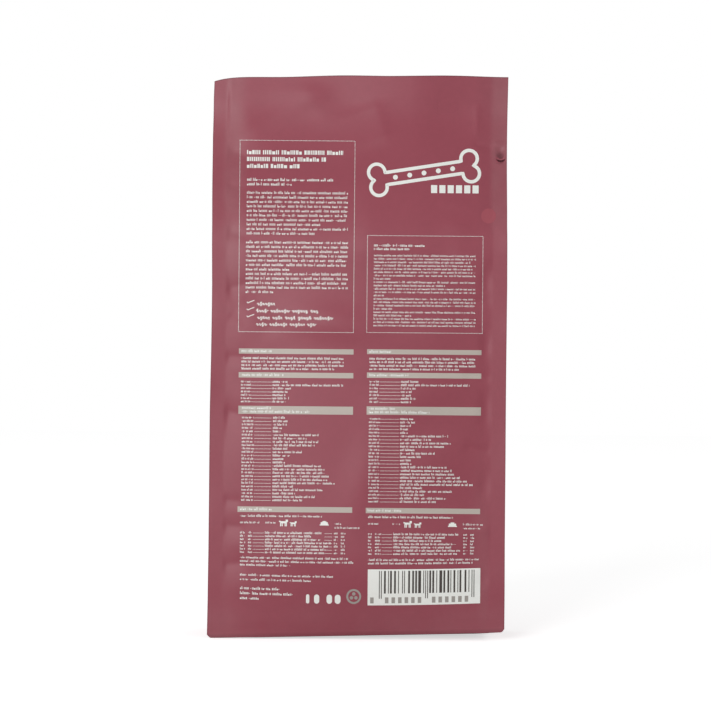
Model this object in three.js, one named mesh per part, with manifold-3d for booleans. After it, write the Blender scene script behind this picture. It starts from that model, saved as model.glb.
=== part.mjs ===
// Filled and sealed bag of laminated film, standing on its flat base.
// Millimetres, +Z up. The label panel faces -Y and the shop front faces +Y.
// It is one sealed body: two broad panels, a gusset down each side that folds in towards the top,
// a base panel, a welded seal along each of the four upright edges and one across the top.

import * as THREE from 'three';
import { mergeVertices } from 'three/addons/utils/BufferGeometryUtils.js';
import Module from 'manifold-3d';

// Overall size
const bagHeight = 376.5; // floor to the cut top edge, on the centre line
const bagWidth = 198; // across both upright seals, where the bag is pressed flat
const bodyDepth = 64; // back seal to front seal where the bag is full
const baseDepth = 60; // back seam to front seam of the base panel

// Seals
const sealWidth = 10; // each upright seal
const sealThickness = 0.9; // two films welded together
const topSealHeight = 16; // welded band across the top
const baseSeamHeight = 3; // welded band along the foot of each panel
const baseSeamLip = 0.8; // how far that band stands out

// Fullness
const panelBulge = 10; // how far each broad panel stands out at its centre
const bellyRise = 46; // height at which a panel has reached that bulge
const bellyTop = 170; // height above which the bulge eases off
const sealDrawIn = 1.1; // how far the full bag draws each seal in
const gussetLeg = 37; // half of the gusset's film, from a seal to the centre crease
const gussetBelly = 5; // how far a full gusset stands out sideways
const creaseStart = 110; // height at which the gusset's centre crease begins
const creaseEnd = 240; // height above which the gusset is folded in with all its film
const shoulderStart = 256; // height at which the bag begins to narrow to its top
const foldGap = 0.5; // opening left between the two leaves of a folded gusset

// Cut top edge
const topSkew = 1.6; // rise of the cut edge from its left end to its right end
const topWave = 0.35; // height of its waves
const topWaveLength = 78;
const topWaveStart = 33; // a wave starts this far left of the centre line
const cornerDip = 3.6; // how far its left corner droops
const cornerDipReach = 11;

// Rest on the floor
const footInset = 9; // from the base seam in to the part that touches the floor
const seamLift = 0.5; // lift of the base seam at its left end
const cornerLift = 5.6; // lift of the label panel's seam at its right end
const frontCornerLift = 2.5; // the same for the shop front

// Puckers along the upright seals
const puckerPitch = 47;
const puckerDepth = 1.5;
const ripplePitch = 19;
const rippleDepth = 0.45;
const puckerReach = 13; // how far they run in from the seal

// Tension folds under the top seal, each a soft groove between two places on the panel.
// A place is a share of the panel's half width and a share of the shoulder's height.
const foldDepth = 2.2;
const foldHalfWidth = 7;
const tensionFolds = [
  { from: [-0.25, 0.94], to: [-0.93, 0.61] },
  { from: [0.14, 0.9], to: [0.34, 0.51] },
  { from: [0.7, 0.92], to: [0.95, 0.65] },
];

// Tear notch, a crescent punched through the right seal of the label panel
const notchHeight = 320; // its centre above the floor
const notchInset = 4.8; // its centre in from the edge
const notchWidth = 5.2;
const notchLength = 14;
const notchOpening = 1.7; // width of the crescent at its lowest place

// Fineness of the mesh
const panelSteps = 28;
const frontSteps = 22;
const gussetSteps = 6;
const levelStep = 7.5;
const notchSteps = 12;

const film = new THREE.MeshStandardMaterial({
  name: 'matte_film',
  color: 0x9b5b66,
  roughness: 0.55,
  metalness: 0,
});

const { smoothstep, lerp, clamp } = THREE.MathUtils;

const foldHalf = foldGap / 2;
const topHalf = sealThickness + foldHalf;
const topSealStart = bagHeight - topSealHeight;
const reliefEnd = topSealStart - sealWidth;

// Half of the bag's width at a height.
function halfWidth(z) {
  return bagWidth / 2 - sealDrawIn * (1 - smoothstep(z, bellyTop, topSealStart));
}

// Half of the distance between the outer faces of the back and front seals at a height.
function halfDepth(z) {
  const full = lerp(baseDepth / 2, bodyDepth / 2, smoothstep(z, 0, bellyRise));
  return lerp(full, topHalf, smoothstep(z, shoulderStart, topSealStart));
}

// How far a broad panel stands out past its seals, on the centre line.
function bulge(z) {
  const rise = Math.sin((Math.PI / 2) * clamp(z / bellyRise, 0, 1));
  return panelBulge * rise * (1 - smoothstep(z, bellyTop, topSealStart));
}

// How far the welded band at a panel's foot stands out.
function seamLip(z) {
  return baseSeamLip * (1 - smoothstep(z, baseSeamHeight, baseSeamHeight + baseSeamLip));
}

// Share of a sharp centre crease in the gusset's section, from a round belly to a flat fold.
function creaseShare(z) {
  return smoothstep(z, creaseStart, creaseEnd);
}

// How far the gusset's centre lies in from the seals. A folded gusset keeps the length of its film.
function creaseDepth(z) {
  const folded = Math.sqrt(Math.max(0, gussetLeg ** 2 - halfDepth(z) ** 2));
  return lerp(-gussetBelly * smoothstep(z, 0, bellyRise), folded, creaseShare(z));
}

// Puckers that a seal draws into the panel beside it.
function pucker(x, z, phase) {
  const run = (halfWidth(z) - sealWidth - Math.abs(x)) / puckerReach;
  const start = x < 0 ? phase : phase + 2;
  const broad = puckerDepth * Math.sin((2 * Math.PI * z) / puckerPitch + start);
  const fine = rippleDepth * Math.sin((2 * Math.PI * z) / ripplePitch + 2 * start);
  return (broad + fine) * Math.exp(-run);
}

// A tension fold's end as a place on the panel.
function foldEnd([across, up]) {
  return new THREE.Vector3(across * (bagWidth / 2 - sealWidth), lerp(shoulderStart, topSealStart, up), 0);
}

// Depth of the tension folds at a place on a panel.
function foldGroove(x, z) {
  const place = new THREE.Vector3(x, z, 0);
  const depths = tensionFolds.map(({ from, to }) => {
    const line = new THREE.Line3(foldEnd(from), foldEnd(to));
    const nearest = line.closestPointToPoint(place, true, new THREE.Vector3());
    return foldDepth * Math.exp(-((nearest.distanceTo(place) / foldHalfWidth) ** 2));
  });
  return depths.reduce((sum, depth) => sum + depth, 0);
}

// Distance of a panel's outer face from the bag's middle plane. side is -1 for the label panel.
function panelDistance(x, z, side) {
  const innerHalf = halfWidth(z) - sealWidth;
  const share = Math.min(1, Math.abs(x) / innerHalf);
  const crown = bulge(z) * (1 - share ** 2.3);
  const fade = smoothstep(z, baseSeamHeight, bellyRise / 2) * (1 - smoothstep(z, reliefEnd, topSealStart));
  const onPanel = 1 - smoothstep(Math.abs(x), innerHalf - 1, innerHalf);
  const relief = pucker(x, z, side) - foldGroove(-side * x, z);
  return halfDepth(z) + seamLip(z) + crown + relief * fade * onPanel;
}

// Outer face of one panel with its two seals, anticlockwise from above.
function panelRun(z, side, steps) {
  const innerHalf = halfWidth(z) - sealWidth;
  const sealFace = side * (halfDepth(z) + seamLip(z));
  const run = [[side * halfWidth(z), sealFace]];
  for (let i = 0; i <= steps; i++) {
    const x = side * lerp(innerHalf, -innerHalf, i / steps);
    run.push([x, side * panelDistance(x, z, side)]);
  }
  run.push([-side * halfWidth(z), sealFace]);
  return run;
}

// One gusset with the inner faces of its two seals, anticlockwise from above.
function gussetRun(z, side) {
  const root = halfDepth(z) - sealThickness;
  const leaf = [];
  for (let i = 0; i < gussetSteps; i++) {
    const t = i / (gussetSteps - 1);
    const shape = lerp(1 - t ** 2, 1 - t, creaseShare(z));
    leaf.push([side * (halfWidth(z) - sealWidth - creaseDepth(z) * shape), side * lerp(foldHalf, root, t)]);
  }
  leaf.push([side * halfWidth(z), side * root]);
  const otherLeaf = leaf.map(([x, y]) => [x, -y]).reverse();
  return [...otherLeaf, ...leaf];
}

// Closed outline of the bag at a height, in four runs: label panel, right gusset, front, left gusset.
function outline(z) {
  return [panelRun(z, -1, panelSteps), gussetRun(z, 1), panelRun(z, 1, frontSteps), gussetRun(z, -1)];
}

// Lift of the base seam above the floor.
function footLift(x, y) {
  const corner = y < 0 ? cornerLift : frontCornerLift;
  return lerp(seamLift, corner, clamp(x / bagWidth + 0.5, 0, 1));
}

// True height of a point of an outline, with the lifted base seam and the uneven cut edge.
function trueHeight(x, y, z) {
  const wave = topWave * Math.sin((2 * Math.PI * (x + topWaveStart)) / topWaveLength);
  const dip = cornerDip * Math.exp(-(x + bagWidth / 2) / cornerDipReach);
  const cut = (topSkew * x) / bagWidth + wave - dip;
  return z + footLift(x, y) * (1 - smoothstep(z, 0, bellyRise)) + cut * smoothstep(z, topSealStart, bagHeight);
}

// Edge of the base panel, on a plain rectangle, with as many points as an outline has.
function baseEdge(inset) {
  const x = bagWidth / 2 - sealDrawIn - sealWidth + baseSeamLip - inset;
  const y = baseDepth / 2 + baseSeamLip - inset;
  const run = (steps, from, to) => {
    const points = [];
    for (let i = 0; i < steps; i++) {
      const share = (i + 0.5) / steps;
      points.push([lerp(from[0], to[0], share), lerp(from[1], to[1], share)]);
    }
    return points;
  };
  const gussetPoints = 2 * gussetSteps + 2;
  return [
    ...run(panelSteps + 3, [-x, -y], [x, -y]),
    ...run(gussetPoints, [x, -y], [x, y]),
    ...run(frontSteps + 3, [x, y], [-x, y]),
    ...run(gussetPoints, [-x, y], [-x, -y]),
  ];
}

// Heights of the outlines, closer together at the base seam.
function levels() {
  const heights = [0, baseSeamHeight, baseSeamHeight + baseSeamLip];
  const count = Math.ceil((bagHeight - levelStep) / levelStep);
  for (let i = 0; i <= count; i++) {
    heights.push(lerp(levelStep, bagHeight, i / count));
  }
  return heights;
}

// Triangles between two rows of points that both run towards +X, for the flat top.
function zip(lower, upper, points) {
  const faces = [];
  let i = 0;
  let j = 0;
  while (i < lower.length - 1 || j < upper.length - 1) {
    const lowerNext = i < lower.length - 1 ? points[lower[i + 1]][0] : Infinity;
    const upperNext = j < upper.length - 1 ? points[upper[j + 1]][0] : Infinity;
    if (lowerNext <= upperNext) {
      faces.push(lower[i], lower[i + 1], upper[j]);
      i++;
    } else {
      faces.push(lower[i], upper[j + 1], upper[j]);
      j++;
    }
  }
  return faces;
}

// Cut top face: a leaf on each side of the gusset folds, joined by a strip between the folds.
function topFace(runs, first, points) {
  let next = first;
  const [label, right, front, left] = runs.map((run) => run.map(() => next++));
  const leafPoints = gussetSteps + 1;
  const labelLeaf = [...left.slice(leafPoints).reverse(), ...right.slice(0, leafPoints).reverse()];
  const frontLeaf = [...left.slice(0, leafPoints), ...right.slice(leafPoints)];
  const folds = [left[leafPoints], right[leafPoints - 1], right[leafPoints], left[leafPoints - 1]];
  return [
    ...zip(label, labelLeaf, points),
    ...zip(frontLeaf, [...front].reverse(), points),
    folds[0], folds[1], folds[2],
    folds[0], folds[2], folds[3],
  ];
}

// The whole bag as one closed skin.
function bagSkin() {
  const points = [];
  const faces = [];
  const foot = baseEdge(footInset).map(([x, y]) => [x, y, 0]);
  const seam = baseEdge(0).map(([x, y]) => [x, y, footLift(x, y) / 2]);
  const rings = [foot, seam];
  for (const z of levels()) {
    rings.push(outline(z).flat().map(([x, y]) => [x, y, trueHeight(x, y, z)]));
  }
  const count = foot.length;
  rings.forEach((ring) => points.push(...ring));
  for (let r = 0; r < rings.length - 1; r++) {
    for (let i = 0; i < count; i++) {
      const a = r * count + i;
      const b = r * count + ((i + 1) % count);
      faces.push(a, b, b + count, a, b + count, a + count);
    }
  }
  const centre = points.length;
  points.push([0, 0, 0]);
  for (let i = 0; i < count; i++) {
    faces.push(centre, (i + 1) % count, i);
  }
  faces.push(...topFace(outline(bagHeight), (rings.length - 1) * count, points));
  const geometry = new THREE.BufferGeometry();
  geometry.setAttribute('position', new THREE.Float32BufferAttribute(points.flat(), 3));
  geometry.setIndex(faces);
  return geometry;
}

// Block with the notch's crescent section, long enough to pass through the label panel's right seal.
function notchBlock() {
  const halfW = notchWidth / 2;
  const halfL = notchLength / 2;
  const tip = Math.asin(notchOpening / notchLength);
  const shape = new THREE.Shape();
  shape.absellipse(0, 0, halfW, halfL, Math.PI - tip, 2 * Math.PI + tip, false);
  shape.absellipse(0, notchOpening, halfW, halfL, 2 * Math.PI - tip, Math.PI + tip, true);
  const reach = halfDepth(notchHeight - notchLength);
  const block = new THREE.ExtrudeGeometry(shape, { depth: reach, bevelEnabled: false, curveSegments: notchSteps });
  block.rotateX(Math.PI / 2);
  return block.translate(halfWidth(notchHeight) - notchInset, 0, notchHeight);
}

const wasm = await Module();
wasm.setup();

// Closed geometry as a solid that can be cut.
function solid(geometry) {
  const bare = geometry.clone();
  bare.deleteAttribute('normal');
  bare.deleteAttribute('uv');
  const merged = mergeVertices(bare, 1e-5);
  return new wasm.Manifold(
    new wasm.Mesh({
      numProp: 3,
      vertProperties: Float32Array.from(merged.attributes.position.array),
      triVerts: Uint32Array.from(merged.index.array),
    }),
  );
}

// A cut solid as geometry again.
function skinOf(cut) {
  const mesh = cut.getMesh();
  const geometry = new THREE.BufferGeometry();
  geometry.setAttribute('position', new THREE.BufferAttribute(mesh.vertProperties, 3));
  geometry.setIndex(new THREE.BufferAttribute(mesh.triVerts, 1));
  geometry.computeVertexNormals();
  return geometry;
}

const bag = new THREE.Mesh(skinOf(solid(bagSkin()).subtract(solid(notchBlock()))), film);
bag.name = 'bag';

const model = new THREE.Group();
model.add(bag);

export default model;
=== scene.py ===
"""A filled, sealed bag of matte laminated film, standing on its base, seen from its label side.

After some helpers come four parts: finishes, the film bag, the print on its label panel, and the
studio. The bag and its print are computed point by point, because the operators of edit mode don't
give a lofted skin with soft folds, or print that lies on it.

Sizes are in millimetres and are turned to Blender's metres where a mesh is made. Heights are above
the floor, widths are from the bag's centre line, and depths are along Y, with the label at -Y.
"""

import logging
import math
from collections.abc import Iterable, Sequence
from dataclasses import dataclass, field
from enum import Enum

import bmesh
import bpy
import numpy as np
from mathutils import Matrix, Vector
from mathutils.bvhtree import BVHTree


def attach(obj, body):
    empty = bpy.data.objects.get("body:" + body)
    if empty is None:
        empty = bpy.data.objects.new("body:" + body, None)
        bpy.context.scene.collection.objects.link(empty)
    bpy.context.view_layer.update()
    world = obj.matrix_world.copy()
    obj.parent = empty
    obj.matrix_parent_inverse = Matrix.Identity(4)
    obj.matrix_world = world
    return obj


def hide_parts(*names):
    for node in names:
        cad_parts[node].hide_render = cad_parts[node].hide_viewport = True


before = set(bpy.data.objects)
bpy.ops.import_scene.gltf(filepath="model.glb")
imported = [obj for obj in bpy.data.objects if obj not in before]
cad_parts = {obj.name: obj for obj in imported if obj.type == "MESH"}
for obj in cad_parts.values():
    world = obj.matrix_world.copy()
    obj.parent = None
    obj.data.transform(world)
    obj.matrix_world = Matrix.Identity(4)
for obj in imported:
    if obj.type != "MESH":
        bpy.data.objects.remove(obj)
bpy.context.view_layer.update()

log = logging.getLogger("film_bag")
MM = 0.001
BODY = "root"
EDGE_AND_SHADE = "edge_and_painted_shade"
PAINTED_SHEEN = "painted_sheen_share"
PURE_WHITE = (1.0, 1.0, 1.0, 1.0)
SMOOTH_ANGLE = math.radians(40)


# Helpers


def linear(hex_colour: str) -> tuple[float, float, float, float]:
    """Turn an sRGB hex colour into Blender's linear RGBA.

    Args:
        hex_colour: six hex digits after a hash.

    Returns:
        The linear colour with full alpha.
    """
    channels = []
    for start in (1, 3, 5):
        value = int(hex_colour[start : start + 2], 16) / 255
        channels.append(value / 12.92 if value <= 0.04045 else ((value + 0.055) / 1.055) ** 2.4)
    return (*channels, 1.0)


def smooth(value: np.ndarray, low: float, high: float) -> np.ndarray:
    """Ease from 0 at low to 1 at high, flat outside them."""
    t = np.clip((value - low) / (high - low), 0, 1)
    return t * t * (3 - 2 * t)


def blend(low: float, high: float, share: np.ndarray) -> np.ndarray:
    """Mix two values by a share from 0 to 1."""
    return low + (high - low) * share


def add_node(tree: bpy.types.NodeTree, kind: str, links: dict | None = None, **settings) -> bpy.types.Node:
    """Add one shader node with its settings and input links.

    Args:
        tree: the node tree to add to.
        kind: the node's Blender type name.
        links: input name or index to a value or to an output socket.
        settings: node properties by name.

    Returns:
        The new node.
    """
    node = tree.nodes.new(kind)
    for name, value in settings.items():
        setattr(node, name, value)
    for name, value in (links or {}).items():
        if isinstance(value, bpy.types.NodeSocket):
            tree.links.new(value, node.inputs[name])
        else:
            node.inputs[name].default_value = value
    return node


def new_material(name: str) -> tuple[bpy.types.Material, bpy.types.NodeTree]:
    """Make an empty node material.

    Args:
        name: the finish's name.

    Returns:
        The material and its cleared node tree.
    """
    material = bpy.data.materials.new(name)
    material.use_nodes = True
    material.node_tree.nodes.clear()
    return material, material.node_tree


def deselect() -> None:
    """Leave object mode with nothing selected."""
    if bpy.context.object and bpy.context.object.mode != "OBJECT":
        bpy.ops.object.mode_set(mode="OBJECT")
    bpy.ops.object.select_all(action="DESELECT")


def mesh_object(name: str, points: np.ndarray, faces: np.ndarray) -> bpy.types.Object:
    """Make an object at the origin from points in millimetres.

    Args:
        name: the object's name.
        points: one row of x, y and z a point.
        faces: one row of point numbers a face, all of one length.

    Returns:
        The linked object.
    """
    mesh = bpy.data.meshes.new(name)
    corners = faces.shape[1]
    mesh.vertices.add(len(points))
    mesh.vertices.foreach_set("co", np.ascontiguousarray(points * MM, dtype=np.float32).ravel())
    mesh.loops.add(faces.size)
    mesh.loops.foreach_set("vertex_index", faces.astype(np.int32).ravel())
    mesh.polygons.add(len(faces))
    mesh.polygons.foreach_set("loop_start", np.arange(0, faces.size, corners, dtype=np.int32))
    mesh.update(calc_edges=True)
    mesh.validate()
    piece = bpy.data.objects.new(name, mesh)
    bpy.context.collection.objects.link(piece)
    return piece


# Finishes


class Pigment(Enum):
    """Colours of the print, as they read on the film."""

    WHITE = "#E0E2DD"
    GREY = "#AEA49B"
    DARK = "#3A332F"
    EMBLEM = "#94908A"
    BLUSH = "#8F3D49"


@dataclass(frozen=True)
class LaminatedFilm:
    """Matte BOPP laminate, reverse printed in burgundy: a dull skin with a broad, weak sheen."""

    colour: str = "#8A3F4C"
    deep_colour: str = "#843946"
    edge_and_shade_colour: str = "#3E0A14"
    painted_sheen_colour: str = "#B9AFAC"
    painted_sheen_level: float = 0.06
    mottle_mm: float = 4.0
    mottle: float = 0.05
    painted_sheen_cloud_mm: float = 22.0
    roughness: float = 0.5
    roughness_change: float = 0.04
    ior: float = 1.42
    tint_patch_mm: float = 70.0
    grain_mm: float = 1.3
    grain_detail: float = 3.0
    grain_lift_mm: float = 0.004

    def make(self) -> bpy.types.Material:
        """Build the film's material.

        Returns:
            The material, with slow changes of tint, painted sheen, darker cut edges with painted shade, and
            a fine skin grain.
        """
        material, tree = new_material("matte_burgundy_film")
        place = add_node(tree, "ShaderNodeTexCoord").outputs["Object"]
        patches = add_node(
            tree,
            "ShaderNodeTexNoise",
            {"Vector": place, "Scale": 1 / (self.tint_patch_mm * MM), "Detail": 2.0},
        )
        tint = add_node(
            tree,
            "ShaderNodeMix",
            {"Factor": patches.outputs["Fac"], 6: linear(self.colour), 7: linear(self.deep_colour)},
            data_type="RGBA",
        )
        # Painted sheen: a pale grey mixed into the film beside the seals, low on the right seal and above
        # the base seam, where the lights' sheen and highlights fall.
        painted_sheen_node = add_node(tree, "ShaderNodeAttribute", attribute_name=PAINTED_SHEEN)
        cloud = add_node(
            tree, "ShaderNodeTexNoise", {"Vector": place, "Scale": 1 / (self.painted_sheen_cloud_mm * MM)}
        )
        amount = add_node(
            tree,
            "ShaderNodeMath",
            {0: painted_sheen_node.outputs["Fac"], 1: cloud.outputs["Fac"]},
            operation="MULTIPLY",
        )
        # The cloud averages a half, so the painted sheen is doubled.
        share = add_node(
            tree, "ShaderNodeMath", {0: amount.outputs[0], 1: 2 * self.painted_sheen_level}, operation="MULTIPLY"
        )
        painted_tone = add_node(
            tree,
            "ShaderNodeMix",
            {"Factor": share.outputs[0], 6: tint.outputs[2], 7: linear(self.painted_sheen_colour)},
            data_type="RGBA",
        )
        # Gravure ink lies a little unevenly.
        speckle = add_node(
            tree, "ShaderNodeTexNoise", {"Vector": place, "Scale": 1 / (self.mottle_mm * MM)}
        )
        uneven = add_node(
            tree,
            "ShaderNodeMapRange",
            {"Value": speckle.outputs["Fac"], "To Min": 1 + self.mottle, "To Max": 1 - self.mottle},
        )
        # Darker along the cut edges, and painted shade along the base seam, on the upper right band that
        # leans away from the light, in the dent above the tear notch and on the notch's cut walls.
        edge = add_node(tree, "ShaderNodeAttribute", attribute_name=EDGE_AND_SHADE)
        toned = add_node(
            tree,
            "ShaderNodeMix",
            {"Factor": edge.outputs["Fac"], 6: painted_tone.outputs[2], 7: linear(self.edge_and_shade_colour)},
            data_type="RGBA",
        )
        inked = add_node(
            tree,
            "ShaderNodeVectorMath",
            {0: toned.outputs[2], "Scale": uneven.outputs["Result"]},
            operation="SCALE",
        )
        # The true skin grain is finer than a pixel, so it is drawn coarser and very shallow.
        grain = add_node(
            tree,
            "ShaderNodeTexNoise",
            {"Vector": place, "Scale": 1 / (self.grain_mm * MM), "Detail": self.grain_detail},
        )
        bump = add_node(
            tree,
            "ShaderNodeBump",
            {"Height": grain.outputs["Fac"], "Strength": 1.0, "Distance": self.grain_lift_mm * MM},
        )
        wear = add_node(
            tree,
            "ShaderNodeMapRange",
            {
                "Value": patches.outputs["Fac"],
                "To Min": self.roughness - self.roughness_change,
                "To Max": self.roughness + self.roughness_change,
            },
        )
        shader = add_node(
            tree,
            "ShaderNodeBsdfPrincipled",
            {
                "Base Color": inked.outputs[0],
                "Roughness": wear.outputs["Result"],
                "IOR": self.ior,
                "Normal": bump.outputs["Normal"],
            },
        )
        add_node(tree, "ShaderNodeOutputMaterial", {"Surface": shader.outputs["BSDF"]})
        return material


@dataclass(frozen=True)
class PrintedInk:
    """Flat ink seen through the film's matte skin, with a slight mottle."""

    name: str
    pigment: Pigment
    mottle: float = 0.05
    mottle_mm: float = 2.2
    roughness: float = 0.5
    ior: float = 1.5

    def make(self) -> bpy.types.Material:
        """Build the ink's material.

        Returns:
            The material, its colour varied a little as printed ink is.
        """
        material, tree = new_material(self.name)
        place = add_node(tree, "ShaderNodeTexCoord").outputs["Object"]
        speckle = add_node(
            tree,
            "ShaderNodeTexNoise",
            {"Vector": place, "Scale": 1 / (self.mottle_mm * MM), "Detail": 2.0},
        )
        full = linear(self.pigment.value)
        thin = tuple(channel * (1 - self.mottle) for channel in full[:3]) + (1.0,)
        colour = add_node(
            tree,
            "ShaderNodeMix",
            {"Factor": speckle.outputs["Fac"], 6: full, 7: thin},
            data_type="RGBA",
        )
        shader = add_node(
            tree,
            "ShaderNodeBsdfPrincipled",
            {"Base Color": colour.outputs[2], "Roughness": self.roughness, "IOR": self.ior},
        )
        add_node(tree, "ShaderNodeOutputMaterial", {"Surface": shader.outputs["BSDF"]})
        return material


# The film bag


# A fold keeps its height for this share of its length either side of its middle, then fades.
FOLD_CORE = 0.28
FOLD_FADE = 0.2


@dataclass(frozen=True)
class Fold:
    """A soft crease or ridge in a panel between two places, as (x, height).

    lift is positive where the film stands out. near and far are how widely it fades on its left and
    right side as one looks from start to end, and crest is the radius of its top.
    """

    start: tuple[float, float]
    end: tuple[float, float]
    lift: float
    near: float
    far: float
    crest: float = 1.2

    def relief(self, x: np.ndarray, z: np.ndarray) -> np.ndarray:
        """Height of the fold over places on the panel.

        Args:
            x: places across the panel.
            z: heights.

        Returns:
            Millimetres outwards.
        """
        run = np.subtract(self.end, self.start)
        length = math.hypot(*run)
        ux, uz = run / length
        along = (x - self.start[0]) * ux + (z - self.start[1]) * uz
        across = (x - self.start[0]) * -uz + (z - self.start[1]) * ux
        width = np.where(across > 0, self.near, self.far)
        from_middle = np.minimum(np.abs(along / length - 0.5), 1)
        ends = np.exp(-((np.maximum(0, from_middle - FOLD_CORE) / FOLD_FADE) ** 2))
        slope = np.exp(-(np.hypot(across, self.crest) - self.crest) / width)
        return self.lift * slope * ends


@dataclass(frozen=True)
class Swell:
    """A rounded lump or hollow in a panel, centred at (x, height)."""

    centre: tuple[float, float]
    reach: tuple[float, float]
    lift: float
    lean: float = 0.0

    def relief(self, x: np.ndarray, z: np.ndarray) -> np.ndarray:
        """Height of the swell over places on the panel.

        Args:
            x: places across the panel.
            z: heights.

        Returns:
            Millimetres outwards.
        """
        turn = math.radians(self.lean)
        dx, dz = x - self.centre[0], z - self.centre[1]
        across = (dx * math.cos(turn) + dz * math.sin(turn)) / self.reach[0]
        along = (-dx * math.sin(turn) + dz * math.cos(turn)) / self.reach[1]
        return self.lift * np.exp(-(across**2 + along**2))


@dataclass(frozen=True)
class EdgeAndShadeTone:
    """Where the film is darker: along the cut edges, and painted shade along the base seam, on the upper
    right band that leans away from the light, and in the dent above the tear notch.
    """

    start: float = 0.2
    band: float = 0.9
    side_depth: float = 0.27
    top_depth: float = 0.5
    fold: tuple[float, float] = (0.6, 3.4)
    lean_shade_depth: float = 0.08
    lean_shade_x: tuple[float, float] = (74.0, 84.0)
    lean_shade_z: tuple[float, float] = (262.0, 290.0)
    dent_shade: tuple[float, float] = (94.3, 321.8)
    dent_shade_reach: tuple[float, float] = (2.9, 5.0)
    dent_shade_fade: tuple[float, float] = (0.4, 1.25)
    dent_shade_depth: float = 0.64

    def depth(
        self, x: np.ndarray, y: np.ndarray, z: np.ndarray, side_gap: np.ndarray, top_gap: np.ndarray
    ) -> np.ndarray:
        """Depth of darker tone and painted shade over the bag's skin.

        Args:
            x: places across the bag.
            y: places along its depth.
            z: heights.
            side_gap: distances from the cut side edges.
            top_gap: distances from the cut top edge.

        Returns:
            0 where the film is plain, and up to 1.
        """
        side = 1 - smooth(side_gap, self.start, self.band)
        top = 1 - smooth(top_gap, self.start, self.band)
        # Painted shade along the base seam, where the film turns under.
        fold = 1 - smooth(z, *self.fold)
        edges = np.maximum(self.side_depth * np.maximum(side, fold), self.top_depth * top)
        # Painted shade on the upper right band, which leans away from the light.
        painted_tone = self.lean_shade_depth * smooth(x, *self.lean_shade_x) * smooth(z, *self.lean_shade_z)
        # Painted shade in the dent above the tear notch, on the label side only.
        across = (x - self.dent_shade[0]) / self.dent_shade_reach[0]
        along = (z - self.dent_shade[1]) / self.dent_shade_reach[1]
        dent_shade = self.dent_shade_depth * (1 - smooth(np.hypot(across, along), *self.dent_shade_fade))
        return np.maximum(np.maximum(edges, painted_tone), np.where(y < 0, dent_shade, 0))


@dataclass(frozen=True)
class PaintedSheen:
    """Painted sheen and highlights: a paler, greyer film beside the seals, low on the right seal and above
    the base seam.

    Bands and seals are distances outwards from a seal's inner line. Rises and fades are heights.
    """

    left_band: tuple[float, float] = (-16.0, -4.0)
    left_seal: tuple[float, float] = (0.0, 4.0)
    left_seal_loss: float = 0.6
    left_rise: tuple[float, float] = (190.0, 290.0)
    left_low: float = 0.25
    right_band: tuple[float, float] = (-3.0, 2.0)
    right_rise: tuple[float, float] = (262.0, 290.0)
    right_low: float = 0.2
    corner: float = 0.7
    corner_band: tuple[float, float] = (-16.0, -5.0)
    corner_seal: tuple[float, float] = (-3.0, 3.0)
    corner_fade: tuple[float, float] = (60.0, 140.0)
    foot: float = 0.6
    foot_fade: tuple[float, float] = (4.0, 42.0)

    def share(self, x: np.ndarray, y: np.ndarray, z: np.ndarray, out: np.ndarray) -> np.ndarray:
        """Share of haze over the bag's skin.

        Args:
            x: places across the bag.
            y: places along its depth.
            z: heights.
            out: distances outwards from the seals' inner lines.

        Returns:
            0 where there is none, and up to 1.
        """
        left = smooth(out, *self.left_band) * (1 - self.left_seal_loss * smooth(out, *self.left_seal))
        left = left * blend(self.left_low, 1, smooth(z, *self.left_rise))
        right = smooth(out, *self.right_band) * blend(self.right_low, 1, smooth(z, *self.right_rise))
        corner = self.corner * smooth(out, *self.corner_band) * (1 - smooth(out, *self.corner_seal))
        corner = np.where(y < 0, corner * (1 - smooth(z, *self.corner_fade)), 0)
        foot = self.foot * (1 - smooth(z, *self.foot_fade))
        return np.maximum(np.where(x < 0, left, np.maximum(right, corner)), foot)


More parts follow.
